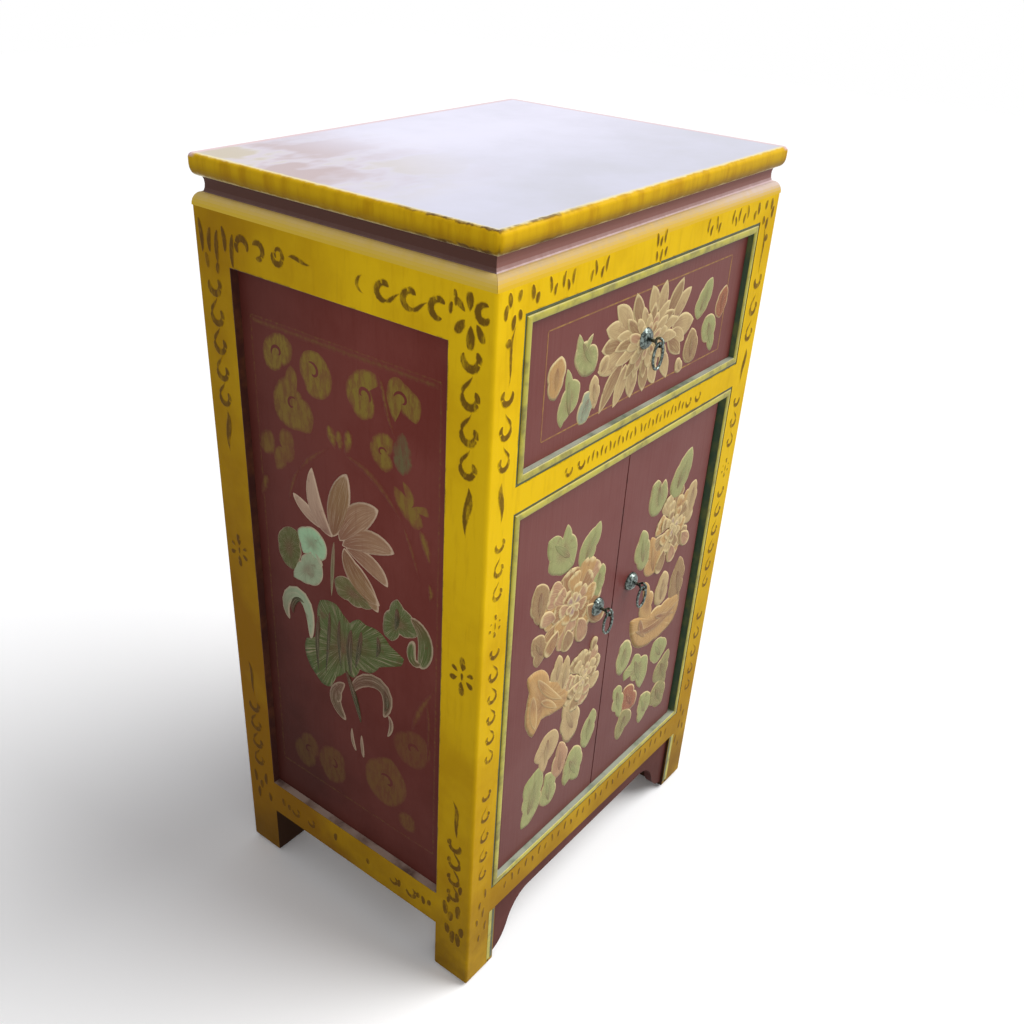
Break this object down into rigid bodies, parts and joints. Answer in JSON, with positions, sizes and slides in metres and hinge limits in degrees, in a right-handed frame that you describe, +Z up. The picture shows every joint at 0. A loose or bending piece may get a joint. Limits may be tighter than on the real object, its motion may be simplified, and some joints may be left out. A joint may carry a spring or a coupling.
{
  "type": "painted cabinet",
  "caption": "Tall bedside cabinet with a painted post and rail frame, a drawer over a pair of pivot-hung doors, ring pulls and a moulded top.",
  "frame": {"origin": "middle of the whole footprint with the pulls, on the surface that the feet stand on; the middle of the carcass lies 6 mm behind it", "axes": "+Z up, -Y out of the front with the drawer and doors, +X to the right seen from the front"},
  "size_m": [0.4256, 0.3354, 0.76],
  "materials": {
    "yellow_paint": "hand painted yellow, dulled and worn at the edges",
    "maroon_paint": "hand painted dark red, satin",
    "top_lacquer": "pale glossy lacquer",
    "bare_wood": "unpainted softwood",
    "iron_pulls": "dark polished iron"
  },
  "bodies": {
    "carcass": {"front_top_rail": "yellow_paint", "front_middle_rail": "yellow_paint", "front_bottom_rail": "yellow_paint", "left_top_rail": "yellow_paint", "left_bottom_rail": "yellow_paint", "right_top_rail": "yellow_paint", "right_bottom_rail": "yellow_paint", "front_left_post": "yellow_paint", "front_right_post": "yellow_paint", "rear_left_post": "yellow_paint", "rear_right_post": "yellow_paint", "shoulder_moulding_front": "yellow_paint", "shoulder_moulding_right": "yellow_paint", "shoulder_moulding_back": "yellow_paint", "shoulder_moulding_left": "yellow_paint", "back_top_rail": "maroon_paint", "back_bottom_rail": "maroon_paint", "left_panel": "maroon_paint", "right_panel": "maroon_paint", "back_panel": "maroon_paint", "front_apron": "maroon_paint", "waist_moulding_front": "maroon_paint", "waist_moulding_right": "maroon_paint", "waist_moulding_back": "maroon_paint", "waist_moulding_left": "maroon_paint", "cupboard_floor": "bare_wood", "left_drawer_runner": "bare_wood", "left_drawer_kicker": "bare_wood", "right_drawer_runner": "bare_wood", "right_drawer_kicker": "bare_wood", "door_stop_strip": "bare_wood", "top_board": "top_lacquer"},
    "drawer": {"drawer_front": "maroon_paint", "drawer_left_side": "bare_wood", "drawer_right_side": "bare_wood", "drawer_back": "bare_wood", "drawer_bottom": "bare_wood", "drawer_pull_boss": "iron_pulls", "drawer_pull_staple": "iron_pulls"},
    "left_door": {"left_door": "maroon_paint", "left_door_lower_pin": "bare_wood", "left_door_upper_pin": "bare_wood", "left_door_pull_boss": "iron_pulls", "left_door_pull_staple": "iron_pulls"},
    "right_door": {"right_door": "maroon_paint", "right_door_lower_pin": "bare_wood", "right_door_upper_pin": "bare_wood", "right_door_pull_boss": "iron_pulls", "right_door_pull_staple": "iron_pulls"},
    "drawer_ring": {"drawer_pull_ring": "iron_pulls"},
    "left_door_ring": {"left_door_pull_ring": "iron_pulls"},
    "right_door_ring": {"right_door_pull_ring": "iron_pulls"}
  },
  "joints": [
    {"name": "drawer_slide", "type": "slide", "parent": "carcass", "child": "drawer", "axis": [0, -1, 0], "range_m": [0, 0.22]},
    {"name": "left_door_hinge", "type": "hinge", "parent": "carcass", "child": "left_door", "pos_m": [-0.16065, -0.14065, 0.326], "axis": [0, 0, -1], "range_deg": [0, 90]},
    {"name": "right_door_hinge", "type": "hinge", "parent": "carcass", "child": "right_door", "pos_m": [0.16065, -0.14065, 0.326], "axis": [0, 0, 1], "range_deg": [0, 90]},
    {"name": "drawer_ring_swing", "type": "hinge", "parent": "drawer", "child": "drawer_ring", "pos_m": [0, -0.1638, 0.6312], "axis": [-1, 0, 0], "range_deg": [-32, 200]},
    {"name": "left_ring_swing", "type": "hinge", "parent": "left_door", "child": "left_door_ring", "pos_m": [-0.03, -0.1638, 0.3732], "axis": [-1, 0, 0], "range_deg": [-32, 200]},
    {"name": "right_ring_swing", "type": "hinge", "parent": "right_door", "child": "right_door_ring", "pos_m": [0.03, -0.1638, 0.3732], "axis": [-1, 0, 0], "range_deg": [-32, 200]}
  ]
}
